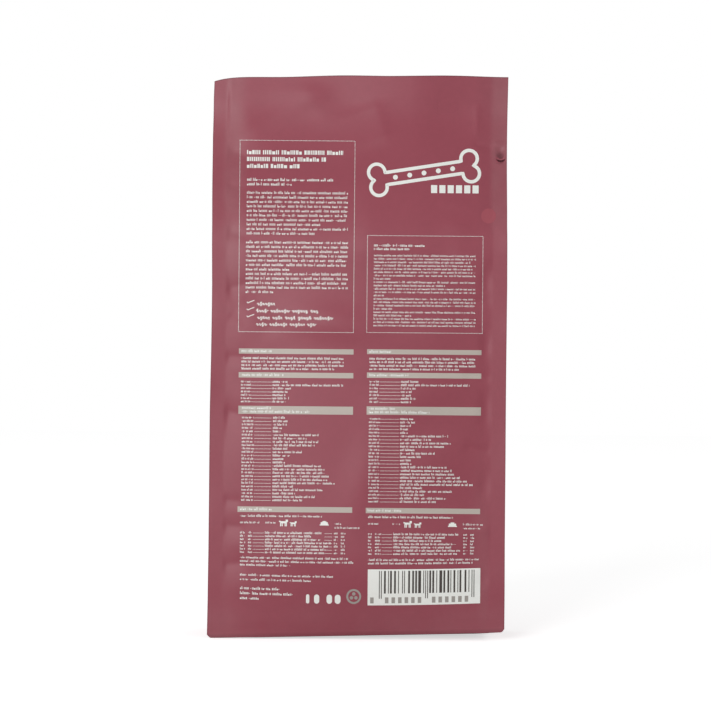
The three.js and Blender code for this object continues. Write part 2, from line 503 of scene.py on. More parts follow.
@dataclass
class FilmBag:
    """The whole sealed bag: two panels, two gussets, four upright seals, base and top."""

    height: float = 376.5
    width: float = 198.0
    body_depth: float = 64.0
    base_depth: float = 60.0
    seal_width: float = 10.0
    seal_thickness: float = 0.45
    top_seal: float = 16.0
    seam_height: float = 3.0
    seam_lip: float = -0.5
    lip_start: float = 1.0
    lip_rise: float = 9.0
    seam_rise: float = 0.94
    panel_bulge: float = 9.6
    crown_power: float = 1.2
    belly_rise: float = 46.0
    bulge_rise: float = 60.0
    belly_top: float = 170.0
    draw_in: float = 1.1
    gusset_leg: float = 37.0
    gusset_belly: float = 5.0
    crease_start: float = 110.0
    crease_end: float = 240.0
    shoulder_start: float = 256.0
    fold_gap: float = 0.5
    foot_inset: float = 7.0
    foot_drop: float = 1.0
    corner_radius: float = 2.2
    seam_lift: float = 0.15
    corner_lift: float = 5.6
    front_corner_lift: float = 2.5
    top_skew: float = 1.6
    top_wave: float = 0.35
    top_wave_length: float = 78.0
    top_wave_start: float = 33.0
    corner_dip: float = 3.6
    corner_dip_reach: float = 11.0
    label_columns: int = 140
    front_columns: int = 92
    gusset_columns: int = 15
    rows: int = 255
    seam_rows: tuple[float, ...] = (0, 0.4, 0.9, 1.5, 2.2, 3.0, 3.4, 3.8, 4.2)
    cut_row_gaps: tuple[float, ...] = (0.9, 0.5, 0.25, 0)
    first_row: float = 5.4
    last_row_gap: float = 1.6
    seal_steps: tuple[float, ...] = (0, 0.3, 0.7, 1.2, 2.0, 3.2, 4.6, 6.2, 7.8, 9.0)
    tip_columns: int = 8
    head_fade: tuple[float, float] = (4.0, 6.0)
    panel_fade: tuple[float, float] = (1.5, 1.0)
    wave_fade: tuple[float, float] = (1.0, 2.5)
    wave_rise: tuple[float, float] = (2.0, 20.0)
    pucker_fade: tuple[float, float] = (30.0, 20.0)
    edge_reach: tuple[float, float] = (30.0, 8.0)
    bow: float = 7.0
    bow_centre: float = 34.0
    bow_left: float = 66.0
    bow_right: float = 34.0
    bow_rise: tuple[float, float] = (240.0, 345.0)
    edge_and_shade_tone: EdgeAndShadeTone = EdgeAndShadeTone()
    painted_sheen_map: PaintedSheen = PaintedSheen()
    label_relief: list[Fold | Swell] = field(default_factory=list)
    front_relief: list[Fold | Swell] = field(default_factory=list)
    seal_relief: list[Fold | Swell] = field(default_factory=list)
    gusset_relief: list[Fold | Swell] = field(default_factory=list)
    edge_heights: tuple[float, ...] = (0, 25, 60, 150, 190, 235, 275, 310, 335, 360, 377)
    left_edge: tuple[float, ...] = (0.8, 0.4, 0.1, 0, -0.6, -1.1, -1.0, -0.3, 0.1, 0, -0.4)
    right_edge: tuple[float, ...] = (0.5, 0.4, 0.2, 0.1, 0.1, 0, -0.6, -0.4, 0, 0.5, 0.8)

    @property
    def top_seal_start(self) -> float:
        """Height at which the welded top band begins."""
        return self.height - self.top_seal

    def half_width(self, z: np.ndarray) -> np.ndarray:
        """Half of the bag's width at a height."""
        return self.width / 2 - self.draw_in * (1 - smooth(z, self.belly_top, self.top_seal_start))

    def half_depth(self, z: np.ndarray) -> np.ndarray:
        """Half of the distance between the two seal planes.

        Args:
            z: heights.

        Returns:
            Millimetres from the middle plane.
        """
        full = blend(self.base_depth / 2, self.body_depth / 2, smooth(z, 0, self.belly_rise))
        flat = self.seal_thickness + self.fold_gap / 2
        return blend(full, flat, smooth(z, self.shoulder_start, self.top_seal_start))

    def bulge(self, z: np.ndarray) -> np.ndarray:
        """How far a panel stands out past its seals, on its centre line."""
        rise = np.sin(np.pi / 2 * np.clip(z / self.bulge_rise, 0, 1))
        return self.panel_bulge * rise * (1 - smooth(z, self.belly_top, self.top_seal_start))

    def crease_depth(self, z: np.ndarray) -> np.ndarray:
        """How far a gusset's centre lies in from the seals.

        Args:
            z: heights.

        Returns:
            Millimetres inwards, below 0 where the gusset stands out.
        """
        folded = np.sqrt(np.maximum(0, self.gusset_leg**2 - self.half_depth(z) ** 2))
        full = -self.gusset_belly * smooth(z, 0, self.belly_rise)
        return blend(full, folded, smooth(z, self.crease_start, self.crease_end))

    def panel_distance(self, x: np.ndarray, z: np.ndarray, side: int) -> np.ndarray:
        """Distance of a panel's face from the bag's middle plane.

        Args:
            x: places across the panel.
            z: heights.
            side: -1 for the label panel, 1 for the shop front.

        Returns:
            Millimetres from the middle plane.
        """
        inner = self.half_width(z) - self.seal_width
        share = np.clip(np.abs(x) / inner, 0, 1)
        crown = self.bulge(z) * (1 - share**2) ** self.crown_power
        lip = self.seam_lip * (1 - smooth(z, self.lip_start, self.seam_height + self.lip_rise))
        relief = np.zeros_like(x)
        for form in self.label_relief if side < 0 else self.front_relief:
            relief += form.relief(x, z)
        foot = smooth(z, self.seam_height, self.belly_rise / 2)
        head = 1 - smooth(z, self.top_seal_start + self.head_fade[0], self.height + self.head_fade[1])
        off_seal = 1 - smooth(np.abs(x), inner - self.panel_fade[0], inner + self.panel_fade[1])
        body = self.half_depth(z) + crown + lip + relief * foot * head * off_seal
        return body + self.seal_wave(x, z, side)

    def seal_wave(self, x: np.ndarray, z: np.ndarray, side: int) -> np.ndarray:
        """How far an upright seal waves out of its plane; both of its faces move alike.

        Args:
            x: places across the bag.
            z: heights.
            side: -1 for the label side's seals, 1 for the shop front's.

        Returns:
            Millimetres away from the middle plane.
        """
        inner = self.half_width(z) - self.seal_width
        wave = np.zeros_like(x)
        for form in self.seal_relief:
            wave += form.relief(x if side < 0 else -x, z)
        on_seal = smooth(np.abs(x), inner - self.wave_fade[0], inner + self.wave_fade[1])
        return wave * on_seal * smooth(z, *self.wave_rise)

    def top_bow(self, x: np.ndarray, z: np.ndarray) -> np.ndarray:
        """How far the flattened top bows out of its plane, all leaves together.

        Args:
            x: places across the bag.
            z: heights.

        Returns:
            Millimetres along Y.
        """
        reach = np.where(x < self.bow_centre, self.bow_left, self.bow_right)
        return -self.bow * np.exp(-(((x - self.bow_centre) / reach) ** 2)) * smooth(z, *self.bow_rise)

    def edge_shift(self, x: np.ndarray, z: np.ndarray) -> np.ndarray:
        """How far the uneven cut edges move a point sideways.

        Args:
            x: places across the bag.
            z: heights.

        Returns:
            Millimetres along X.
        """
        left = -np.interp(z, self.edge_heights, self.left_edge)
        right = np.interp(z, self.edge_heights, self.right_edge)
        far, near = self.edge_reach
        reach = smooth(np.abs(x), self.width / 2 - far, self.width / 2 - near)
        return np.where(x < 0, left, right) * reach

    def foot_lift(self, x: np.ndarray, y: np.ndarray) -> np.ndarray:
        """Lift of the base seam above the floor.

        Args:
            x: places across the bag.
            y: places along its depth.

        Returns:
            Millimetres upwards, most at the right and on the label side.
        """
        to_label = np.clip(0.5 - y / self.base_depth, 0, 1)
        corner = blend(self.front_corner_lift, self.corner_lift, to_label)
        return self.seam_lift + (corner - self.seam_lift) * np.clip(x / self.width + 0.5, 0, 1)

    def true_height(self, x: np.ndarray, y: np.ndarray, z: np.ndarray) -> np.ndarray:
        """Height of a point with the lifted base seam, rounded corners and the uneven cut edge.

        Args:
            x: places across the bag.
            y: places along its depth.
            z: heights before any of these.

        Returns:
            Millimetres above the floor.
        """
        wave = self.top_wave * np.sin(2 * np.pi * (x + self.top_wave_start) / self.top_wave_length)
        dip = self.corner_dip * np.exp(-(x + self.width / 2) / self.corner_dip_reach)
        cut = self.top_skew * x / self.width + wave - dip
        foot = self.foot_lift(x, y) * (1 - smooth(z, 0, self.belly_rise))
        # A lower corner is rounded off, and the skin above it takes this up over three radii.
        radius = self.corner_radius
        past = np.clip(np.abs(x) - (self.width / 2 - self.draw_in - radius), 0, radius)
        rounding = (radius - np.sqrt(radius**2 - past**2)) * (1 - smooth(z, 0, 3 * radius))
        return z + foot + rounding + cut * smooth(z, self.top_seal_start, self.height)

    def panel_run(self, z: np.ndarray, side: int, columns: int) -> np.ndarray:
        """Outer face of one panel with its two seals, anticlockwise from above.

        Args:
            z: heights of the rows.
            side: -1 for the label panel, 1 for the shop front.
            columns: how many cells the run has.

        Returns:
            An array of rows, points and x, y.
        """
        seal = np.array(self.seal_steps) / (self.width / 2)
        middle = 1 - self.seal_width / (self.width / 2)
        panel = np.linspace(-middle, middle, columns + 1)
        share = np.concatenate([seal - 1, panel, 1 - seal[::-1]])
        x = -side * share[None, :] * self.half_width(z)[:, None]
        y = side * self.panel_distance(x, np.repeat(z[:, None], len(share), 1), side)
        return np.stack([x, y], -1)

    def gusset_run(self, z: np.ndarray, side: int) -> np.ndarray:
        """One gusset with the inner faces of its two seals, anticlockwise from above.

        Args:
            z: heights of the rows.
            side: 1 for the right gusset, -1 for the left.

        Returns:
            An array of rows, points and x, y.
        """
        root = (self.half_depth(z) - self.seal_thickness)[:, None]
        inner = (self.half_width(z) - self.seal_width)[:, None]
        t = np.linspace(0, 1, self.gusset_columns)[None, :]
        straight = smooth(z, self.crease_start, self.crease_end)[:, None]
        shape = (1 - t**2) * (1 - straight) + (1 - t) * straight
        leaf_x = inner - self.crease_depth(z)[:, None] * shape
        leaf_y = self.fold_gap / 2 + (root - self.fold_gap / 2) * t
        rows = np.repeat(z[:, None], t.shape[1], 1)
        free = (1 - t**4) * smooth(rows, self.seam_height, self.belly_rise)
        near_leaf = leaf_x + free * self.pucker(-leaf_y * side, rows)
        far_leaf = leaf_x + free * self.pucker(leaf_y * side, rows)
        tips = (np.arange(1, self.tip_columns + 1) / self.tip_columns)[None, :]
        tip_x = inner + self.seal_width * tips
        height = np.repeat(z[:, None], tips.shape[1], 1)
        near = root + self.seal_wave(side * tip_x, height, -side)
        far = root + self.seal_wave(side * tip_x, height, side)
        x = np.concatenate([tip_x[:, ::-1], near_leaf[:, ::-1], far_leaf, tip_x], 1)
        y = np.concatenate([-near[:, ::-1], -leaf_y[:, ::-1], leaf_y, far], 1)
        return np.stack([side * x, side * y], -1)

    def pucker(self, y: np.ndarray, z: np.ndarray) -> np.ndarray:
        """How far a gusset's film stands out at places across its depth.

        Args:
            y: places along the bag's depth.
            z: heights.

        Returns:
            Millimetres away from the bag's centre line.
        """
        lift = np.zeros_like(y)
        for form in self.gusset_relief:
            lift += form.relief(y, z)
        below, above = self.pucker_fade
        return lift * (1 - smooth(z, self.crease_end - below, self.crease_end + above))

    def levels(self) -> np.ndarray:
        """Heights of the rows, closer together at the base seam and at the cut edge.

        Returns:
            Millimetres, from the base seam up.
        """
        seam = np.array(self.seam_rows)
        cut = self.height - np.array(self.cut_row_gaps)
        body = np.linspace(self.first_row, self.height - self.last_row_gap, self.rows)
        return np.concatenate([seam, body, cut])

    def build(self) -> bpy.types.Object:
        """Model the bag as one closed skin.

        Returns:
            The bag's object, without a finish.
        """
        z = self.levels()
        runs = [
            self.panel_run(z, -1, self.label_columns),
            self.gusset_run(z, 1),
            self.panel_run(z, 1, self.front_columns),
            self.gusset_run(z, -1),
        ]
        ring = np.concatenate(runs, 1)
        rows, count = ring.shape[:2]
        x, y = ring[..., 0], ring[..., 1]
        levels = np.repeat(z[:, None], count, 1)
        half = self.half_width(levels)
        shade = self.edge_and_shade_tone.depth(x, y, levels, half - np.abs(x), self.height - levels)
        painted_sheen_level = self.painted_sheen_map.share(x, y, levels, np.abs(x) - (half - self.seal_width))
        y = y + self.top_bow(x, levels)
        x = x + self.edge_shift(x, levels)
        skin = np.stack([x, y, self.true_height(x, y, levels)], -1)
        sizes = [run.shape[1] for run in runs]
        seam = self.base_ring(sizes, 0.0)
        seam[:, 2] = self.foot_lift(seam[:, 0], seam[:, 1]) * self.seam_rise
        foot = self.base_ring(sizes, self.foot_inset)
        foot[:, 2] = np.maximum(0, self.foot_lift(foot[:, 0], foot[:, 1]) - self.foot_drop)
        points = np.concatenate([foot, seam, skin.reshape(-1, 3)], 0)
        starts = np.arange(rows + 1)[:, None] * count
        here = (starts + np.arange(count)).ravel()
        beside = (starts + np.roll(np.arange(count), -1)).ravel()
        faces = np.stack([here, beside, beside + count, here + count], 1)
        piece = mesh_object("film_bag", points, faces)
        # The foot ring takes neither tone; the base seam ring takes the full painted shade and the full
        # painted sheen share.
        rings = np.zeros(count), np.ones(count)
        self.write_tone(piece, EDGE_AND_SHADE, [*rings, shade.ravel()])
        self.write_tone(piece, PAINTED_SHEEN, [*rings, painted_sheen_level.ravel()])
        self.close_ends(piece, count, sizes, rows)
        return piece

    @staticmethod
    def write_tone(piece: bpy.types.Object, name: str, parts: list[np.ndarray]) -> None:
        """Keep a number for every point, for the film's finish to read.

        Args:
            piece: the film.
            name: the attribute's name.
            parts: the numbers, in the order of the points.
        """
        tone = piece.data.attributes.new(name, "FLOAT", "POINT")
        tone.data.foreach_set("value", np.concatenate(parts).astype(np.float32))

    def base_ring(self, sizes: Sequence[int], inset: float) -> np.ndarray:
        """Ring of points on a plain rectangle under the bag.

        Args:
            sizes: number of points on each side, in the order of the bag's runs.
            inset: how far it is drawn in.

        Returns:
            The points, at height 0.
        """
        corner_x = self.width / 2 - self.draw_in - self.seal_width + self.seam_lip - inset
        corner_y = self.base_depth / 2 + self.seam_lip - inset
        corners = np.array([[-1, -1], [1, -1], [1, 1], [-1, 1]]) * [corner_x, corner_y]
        sides = []
        for number, size in enumerate(sizes):
            share = ((np.arange(size) + 0.5) / size)[:, None]
            sides.append(corners[number] * (1 - share) + np.roll(corners, -1, 0)[number] * share)
        flat = np.concatenate(sides, 0)
        return np.concatenate([flat, np.zeros((len(flat), 1))], 1)

    def close_ends(self, piece: bpy.types.Object, count: int, sizes: Sequence[int], rows: int) -> None:
        """Close the base with a fan of triangles and the top with strips between its leaves.

        Args:
            piece: the open skin.
            count: points in a ring.
            sizes: points in each run of a ring.
            rows: number of rings above the base seam.
        """
        work = bmesh.new()
        work.from_mesh(piece.data)
        work.verts.ensure_lookup_table()
        every = list(work.verts)
        foot = every[:count]
        ends = np.cumsum([(rows + 1) * count, *sizes])
        label, right, front, left = (every[ends[k] : ends[k + 1]] for k in range(4))
        centre = work.verts.new((0, 0, 0))
        for i in range(count):
            work.faces.new((centre, foot[(i + 1) % count], foot[i]))
        leaf = len(right) // 2
        self.zip_rows(work, label, left[leaf:][::-1] + right[:leaf][::-1])
        self.zip_rows(work, left[:leaf] + right[leaf:], front[::-1])
        work.faces.new((left[leaf], right[leaf - 1], right[leaf], left[leaf - 1]))
        work.to_mesh(piece.data)
        work.free()

    @staticmethod
    def zip_rows(work: bmesh.types.BMesh, lower: list, upper: list) -> None:
        """Join two rows of points with triangles.

        Args:
            work: the mesh being edited.
            lower: one row's points, running towards +X.
            upper: the other row's points, running the same way.
        """
        i = j = 0
        while i < len(lower) - 1 or j < len(upper) - 1:
            lower_next = lower[i + 1].co.x if i < len(lower) - 1 else math.inf
            upper_next = upper[j + 1].co.x if j < len(upper) - 1 else math.inf
            if lower_next <= upper_next:
                work.faces.new((lower[i], lower[i + 1], upper[j]))
                i += 1
            else:
                work.faces.new((lower[i], upper[j + 1], upper[j]))
                j += 1


@dataclass(frozen=True)
class TearNotch:
    """Crescent cut through the film of the label side's right seal, with its ends up."""

    centre: tuple[float, float] = (94.4, 321.5)
    radius: float = 3.1
    opening: float = 2.8
    depth: float = 0.6
    reach: float = 12.0
    overlap: float = 1.0
    sides: int = 40
    sight_start: float = -200.0

    def drum(self, height: float, front: float, back: float) -> bpy.types.Object:
        """Add one round cutter that lies along Y.

        Args:
            height: height of its centre.
            front: its end nearest the viewer.
            back: its other end.

        Returns:
            The cutter, toned dark all over, so that the cut's walls carry painted shade.
        """
        deselect()
        bpy.ops.mesh.primitive_cylinder_add(
            vertices=self.sides,
            radius=self.radius * MM,
            depth=(back - front) * MM,
            location=(self.centre[0] * MM, (front + back) / 2 * MM, height * MM),
            rotation=(math.pi / 2, 0, 0),
        )
        bpy.ops.object.transform_apply(location=True, rotation=True, scale=True)
        cutter = bpy.context.object
        # Painted shade inside the notch: the cut's walls take the full dark tone.
        tone = cutter.data.attributes.new(EDGE_AND_SHADE, "FLOAT", "POINT")
        tone.data.foreach_set("value", np.ones(len(cutter.data.vertices), np.float32))
        return cutter

    def cut(self, film: bpy.types.Object) -> None:
        """Take the crescent out of the seal, a little deeper than the film is thick.

        Args:
            film: the bag, which is changed.
        """
        tree = BVHTree.FromObject(film, bpy.context.evaluated_depsgraph_get())
        start = Vector((self.centre[0], self.sight_start, self.centre[1] - self.radius / 2)) * MM
        face = tree.ray_cast(start, Vector((0, 1, 0)))[0].y / MM
        front, back = face - self.reach, face + self.depth
        crescent = self.drum(self.centre[1], front, back)
        inside = self.drum(self.centre[1] + self.opening, front - self.overlap, back + self.overlap)
        subtract(crescent, inside)
        subtract(film, crescent)


def subtract(piece: bpy.types.Object, cutter: bpy.types.Object) -> None:
    """Cut one closed shape out of another, and remove the cutter.

    Args:
        piece: what is cut.
        cutter: what it is cut with.
    """
    deselect()
    piece.select_set(True)
    bpy.context.view_layer.objects.active = piece
    step = piece.modifiers.new("cut", "BOOLEAN")
    step.operation = "DIFFERENCE"
    step.solver = "EXACT"
    step.object = cutter
    bpy.ops.object.modifier_apply(modifier=step.name)
    bpy.data.objects.remove(cutter)


# The print


@dataclass(frozen=True)
class Viewpoint:
    """Place of the lens, and the upright plane before the bag on which print is laid out."""

    eye: tuple[float, float, float] = (-1.8, -1545.0, 188.2)
    plane: float = -45.0
    roll_degrees: float = 0.5
    lens: float = 115.8
    sensor: float = 36.0


@dataclass
class LabelPress:
    """Carries flat print from its layout plane on to the film, along the lines of sight."""

    film: bpy.types.Object
    viewpoint: Viewpoint
    step: float = 1.5
    left: float = -90.0
    right: float = 90.0
    low: float = 18.0
    high: float = 342.0
    cell_margin: float = 0.001
    sag: float = 0.00025
    sag_centre: float = -11.0
    sag_full: float = 35.0
    sag_end: float = 75.0

    def __post_init__(self) -> None:
        """Measure the film's depth behind a grid of layout places."""
        viewpoint = self.viewpoint
        self.reach = viewpoint.plane - viewpoint.eye[1]
        tree = BVHTree.FromObject(self.film, bpy.context.evaluated_depsgraph_get())
        eye = Vector(viewpoint.eye) * MM
        self.xs = np.arange(self.left, self.right + self.step, self.step)
        self.zs = np.arange(self.low, self.high + self.step, self.step)
        self.depth = np.empty((len(self.zs), len(self.xs)))
        for row, z in enumerate(self.zs):
            for column, x in enumerate(self.xs):
                sight = Vector((x, viewpoint.plane, z)) * MM - eye
                hit = tree.ray_cast(eye, sight.normalized())[0]
                self.depth[row, column] = hit.y / MM if hit else viewpoint.plane

    def press(self, flat: np.ndarray, lift: float) -> np.ndarray:
        """Carry layout places on to the film.

        Args:
            flat: one row of x and height a place.
            lift: how far the ink stands off the film.

        Returns:
            One row of x, y and z a place.
        """
        x, z = flat[:, 0], flat[:, 1]
        # The lines of print sag towards the middle near the foot.
        foot = 1 - smooth(z, self.sag_full, self.sag_end)
        z = z + self.sag * (x - self.sag_centre) ** 2 * foot
        column = np.clip((x - self.left) / self.step, 0, len(self.xs) - 1 - self.cell_margin)
        row = np.clip((z - self.low) / self.step, 0, len(self.zs) - 1 - self.cell_margin)
        c, r = column.astype(int), row.astype(int)
        u, v = column - c, row - r
        lower = self.depth[r, c] * (1 - u) + self.depth[r, c + 1] * u
        upper = self.depth[r + 1, c] * (1 - u) + self.depth[r + 1, c + 1] * u
        y = lower * (1 - v) + upper * v - lift
        eye = self.viewpoint.eye
        share = (y - eye[1]) / self.reach
        return np.stack([eye[0] + (x - eye[0]) * share, y, eye[2] + (z - eye[2]) * share], -1)


def tile(x0: float, z0: float, x1: float, z1: float, step: float = 1.0) -> np.ndarray:
    """Cover a rectangle with small quads, so that it can follow the film.

    Args:
        x0: left side.
        z0: lower side.
        x1: right side.
        z1: upper side.
        step: longest side of a quad.

    Returns:
        Quads as an array of n, 4 and x, z.
    """
    xs = np.linspace(x0, x1, max(2, math.ceil((x1 - x0) / step) + 1))
    zs = np.linspace(z0, z1, max(2, math.ceil((z1 - z0) / step) + 1))
    left, low = (grid.ravel() for grid in np.meshgrid(xs[:-1], zs[:-1]))
    right, high = (grid.ravel() for grid in np.meshgrid(xs[1:], zs[1:]))
    corners = [(left, low), (right, low), (right, high), (left, high)]
    return np.stack([np.stack(corner, -1) for corner in corners], 1)


# Fewest facets of an arc, and about how many degrees one spans on a longer arc.
ARC_STEPS = 9
ARC_DEGREES = 12


def arc_band(
    centre: tuple[float, float], inner: float, outer: float, start: float = 0, end: float = 360
) -> np.ndarray:
    """Cover a ring, a part of one, or a disc with quads.

    Args:
        centre: its middle.
        inner: inner radius, 0 for a disc.
        outer: outer radius.
        start: first angle in degrees.
        end: last angle in degrees.

    Returns:
        Quads as an array of n, 4 and x, z.
    """
    count = max(ARC_STEPS, int(abs(end - start) / ARC_DEGREES))
    turns = np.radians(np.linspace(start, end, count + 1))
    rim = np.stack([np.cos(turns), np.sin(turns)], -1)
    rings = [inner, (inner + outer) / 2, outer]
    quads = []
    for low, high in zip(rings, rings[1:], strict=False):
        quads.append(np.stack([rim[:-1] * low, rim[:-1] * high, rim[1:] * high, rim[1:] * low], 1))
    return np.concatenate(quads) + centre


def stroke(path: Sequence[tuple[float, float]], width: float, closed: bool = False) -> np.ndarray:
    """Cover a pen stroke along a path with quads.

    Args:
        path: its points.
        width: the stroke's width.
        closed: whether the last point joins the first.

    Returns:
        Quads as an array of n, 4 and x, z.
    """
    points = np.array(path, float)
    if closed:
        points = np.concatenate([points, points[:1]])
    dense = [points[:1]]
    for start, end in zip(points, points[1:], strict=False):
        count = max(1, math.ceil(np.linalg.norm(end - start)))
        dense.append(start + (end - start) * (np.arange(1, count + 1) / count)[:, None])
    points = np.concatenate(dense)
    runs = np.diff(points, axis=0)
    runs /= np.linalg.norm(runs, axis=1)[:, None]
    before = np.concatenate([runs[-1:] if closed else runs[:1], runs])
    after = np.concatenate([runs, runs[:1] if closed else runs[-1:]])
    lean = before + after
    lean /= np.linalg.norm(lean, axis=1)[:, None]
    side = np.stack([-lean[:, 1], lean[:, 0]], -1) * width / 2
    left, right = points + side, points - side
    return np.stack([right[:-1], right[1:], left[1:], left[:-1]], 1)


def pill(left: float, low: float, width: float, height: float) -> np.ndarray:
    """Cover an upright pill with quads.

    Args:
        left: left side.
        low: lower end.
        width: its width.
        height: its height.

    Returns:
        Quads as an array of n, 4 and x, z.
    """
    radius = width / 2
    x, top = left + radius, low + height - radius
    return np.concatenate(
        [
            arc_band((x, top), 0, radius, 0, 180),
            tile(left, low + radius, left + width, top),
            arc_band((x, low + radius), 0, radius, 180, 360),
        ]
    )


# Shares of a mark's height, height and width.
TALL_SHARE = 1.4
PLATE_SHARE = 0.72
DOT_SHARE = 0.7


class Stamp(Enum):
    """Plain bars that the fine print is made of."""

    POST = 0
    TALL = 1
    PAIR = 2
    PLATE = 3
    DOT = 4

    def bars(self, w: float, h: float, s: float) -> list[tuple[float, float, float, float]]:
        """Rectangles of the shape.

        Args:
            w: its width.
            h: its height.
            s: width of a single bar.

        Returns:
            Left, lower, right and upper side of each rectangle.
        """
        shapes = {
            Stamp.POST: [(0, 0, s, h)],
            Stamp.TALL: [(0, 0, s, TALL_SHARE * h)],
            Stamp.PAIR: [(0, 0, s, h), (w - s, 0, w, h)],
            Stamp.PLATE: [(0, 0, w, h * PLATE_SHARE)],
            Stamp.DOT: [(0, h / 2 - s / 2, w * DOT_SHARE, h / 2 + s / 2)],
        }
        return shapes[self]


@dataclass(frozen=True)
class Face:
    """A size and weight of fine print, made of plain bars."""

    height: float
    stroke: float
    width: float
    gap: float
    space: float
    stamps: tuple[Stamp, ...] = (Stamp.POST, Stamp.TALL, Stamp.PAIR, Stamp.PLATE, Stamp.DOT)
    shares: tuple[float, ...] = (0.16, 0.16, 0.38, 0.2, 0.1)
    shortest_word: int = 3
    longest_word: int = 9
    room: float = 0.6
    narrowest: float = 0.85
    widest: float = 1.15

    def line(self, start: float, end: float, centre: float, dice: np.random.Generator) -> np.ndarray:
        """Set one line of words.

        Args:
            start: left end.
            end: right end.
            centre: height of the line's middle.
            dice: source of chance, seeded.

        Returns:
            Quads as an array of n, 4 and x, z.
        """
        rects = []
        x = start
        left_in_word = int(dice.integers(self.shortest_word, self.longest_word + 1))
        while x < end - self.width * self.room:
            kind = self.stamps[dice.choice(len(self.stamps), p=self.shares)]
            slim = kind in (Stamp.POST, Stamp.TALL)
            width = self.stroke if slim else self.width * dice.uniform(self.narrowest, self.widest)
            for x0, z0, x1, z1 in kind.bars(width, self.height, self.stroke):
                low = centre - self.height / 2
                rects.append((x + x0, low + z0, min(x + x1, end), low + z1))
            x += width + self.gap
            left_in_word -= 1
            if left_in_word <= 0:
                x += self.space
                left_in_word = int(dice.integers(self.shortest_word, self.longest_word + 1))
        rect = np.array([r for r in rects if r[2] > r[0]])
        corners = [rect[:, [0, 1]], rect[:, [2, 1]], rect[:, [2, 3]], rect[:, [0, 3]]]
        return np.stack(corners, 1)


HEADING = Face(2.75, 0.75, 1.75, 0.5, 1.25, (Stamp.PLATE, Stamp.PAIR, Stamp.POST), (0.3, 0.4, 0.3))
SUBTITLE = Face(1.4, 0.36, 0.85, 0.3, 0.85)
BODY_FACE = Face(1.35, 0.29, 0.82, 0.3, 0.9)
FINE = Face(1.0, 0.2, 0.6, 0.23, 0.6)
FINE_BOLD = Face(1.15, 0.27, 0.66, 0.26, 0.75)
ON_BAR = Face(1.35, 0.32, 0.85, 0.3, 0.7)
NUMBERS = Face(1.05, 0.24, 0.6, 0.25, 0.5, shortest_word=2, longest_word=4)


@dataclass(frozen=True)
class Lines:
    """Lines of one face, one under another, from one left edge."""

    face: Face
    left: float
    top: float
    pitch: float
    ends: tuple[float, ...]

    def quads(self, dice: np.random.Generator) -> list[np.ndarray]:
        """Set every line.

        Args:
            dice: source of chance, seeded.

        Returns:
            Arrays of n, 4 and x, z.
        """
        return [
            self.face.line(self.left, end, self.top - number * self.pitch, dice)
            for number, end in enumerate(self.ends)
        ]


@dataclass(frozen=True)
class Leader:
    """Rows of dots that lead from one column of a table to the next."""

    left: float
    right: float
    top: float
    pitch: float
    rows: int
    drop: float = 0.35
    dot: float = 0.34
    every: float = 0.62

    def quads(self, dice: np.random.Generator) -> list[np.ndarray]:
        """Set every dot.

        Args:
            dice: not used, as dots are even.

        Returns:
            Arrays of n, 4 and x, z.
        """
        made = []
        for row in range(self.rows):
            z = self.top - row * self.pitch - self.drop
            for x in np.arange(self.left, self.right - self.dot, self.every):
                made.append(tile(x, z, x + self.dot, z + self.dot))
        return made


@dataclass(frozen=True)
class Frame:
    """A frame of fine dots."""

    left: float
    low: float
    right: float
    high: float
    dot: float = 0.42
    every: float = 0.84

    def quads(self, dice: np.random.Generator) -> list[np.ndarray]:
        """Set every dot.

        Args:
            dice: not used, as dots are even.

        Returns:
            Arrays of n, 4 and x, z.
        """
        half = self.dot / 2
        made = []
        for x in np.arange(self.left, self.right, self.every):
            made += [tile(x - half, z - half, x + half, z + half) for z in (self.low, self.high)]
        for z in np.arange(self.low, self.high, self.every):
            made += [tile(x - half, z - half, x + half, z + half) for x in (self.left, self.right)]
        return made


@dataclass(frozen=True)
class Wave:
    """A loose pen line in separate loops."""

    left: float
    right: float
    centre: float
    height: float = 3.1
    width: float = 0.42
    slant: float = 0.45
    loop: float = 1.75
    shortest: float = 3.0
    runs: tuple[float, float] = (6.0, 13.0)
    gap: float = 1.6
    step: float = 0.16
    calm: float = 0.42
    swell: float = 1.1

    def quads(self, dice: np.random.Generator) -> list[np.ndarray]:
        """Draw the loops, one run after another.

        Args:
            dice: source of chance, seeded.

        Returns:
            Arrays of n, 4 and x, z.
        """
        made = []
        x = self.left
        while x < self.right - self.shortest:
            length = min(float(dice.uniform(*self.runs)), self.right - x)
            along = np.linspace(0, length, int(length / self.step))
            phase = dice.uniform(0, 2 * math.pi)
            tall = blend(self.calm, 1, np.maximum(0, np.sin(along * self.swell + phase)) ** 2)
            swing = np.sin(along * 2 * math.pi / self.loop) * self.height / 2 * tall
            path = np.stack([x + along + swing * self.slant, self.centre + swing], -1)
            made.append(stroke(path, self.width))
            x += length + self.gap
        return made


@dataclass(frozen=True)
class Tick:
    """A check mark."""

    left: float
    centre: float
    size: float = 4.6
    width: float = 0.5
    shape: tuple[tuple[float, float], ...] = ((0, 0.02), (0.16, -0.14), (0.5, 0.04), (1.05, 0.24))

    def quads(self, dice: np.random.Generator) -> list[np.ndarray]:
        """Draw the mark."""
        path = [(self.left + u * self.size, self.centre + v * self.size) for u, v in self.shape]
        return [stroke(path, self.width)]


def table_print(
    numbers: tuple[float, float],
    leader: tuple[float, float],
    labels: float,
    top: float,
    pitch: float,
    ends: Iterable[float],
) -> list:
    """Lay out rows of a short block, a dotted leader and a long block.

    Args:
        numbers: left and right end of the short blocks.
        leader: left and right end of the leader.
        labels: where the long blocks start.
        top: height of the first row.
        pitch: from row to row.
        ends: where each long block ends.

    Returns:
        The print's items.
    """
    ends = tuple(ends)
    return [
        Lines(NUMBERS, numbers[0], top, pitch, (numbers[1],) * len(ends)),
        Leader(*leader, top, pitch, len(ends)),
        Lines(FINE_BOLD, labels, top, pitch, ends),
    ]


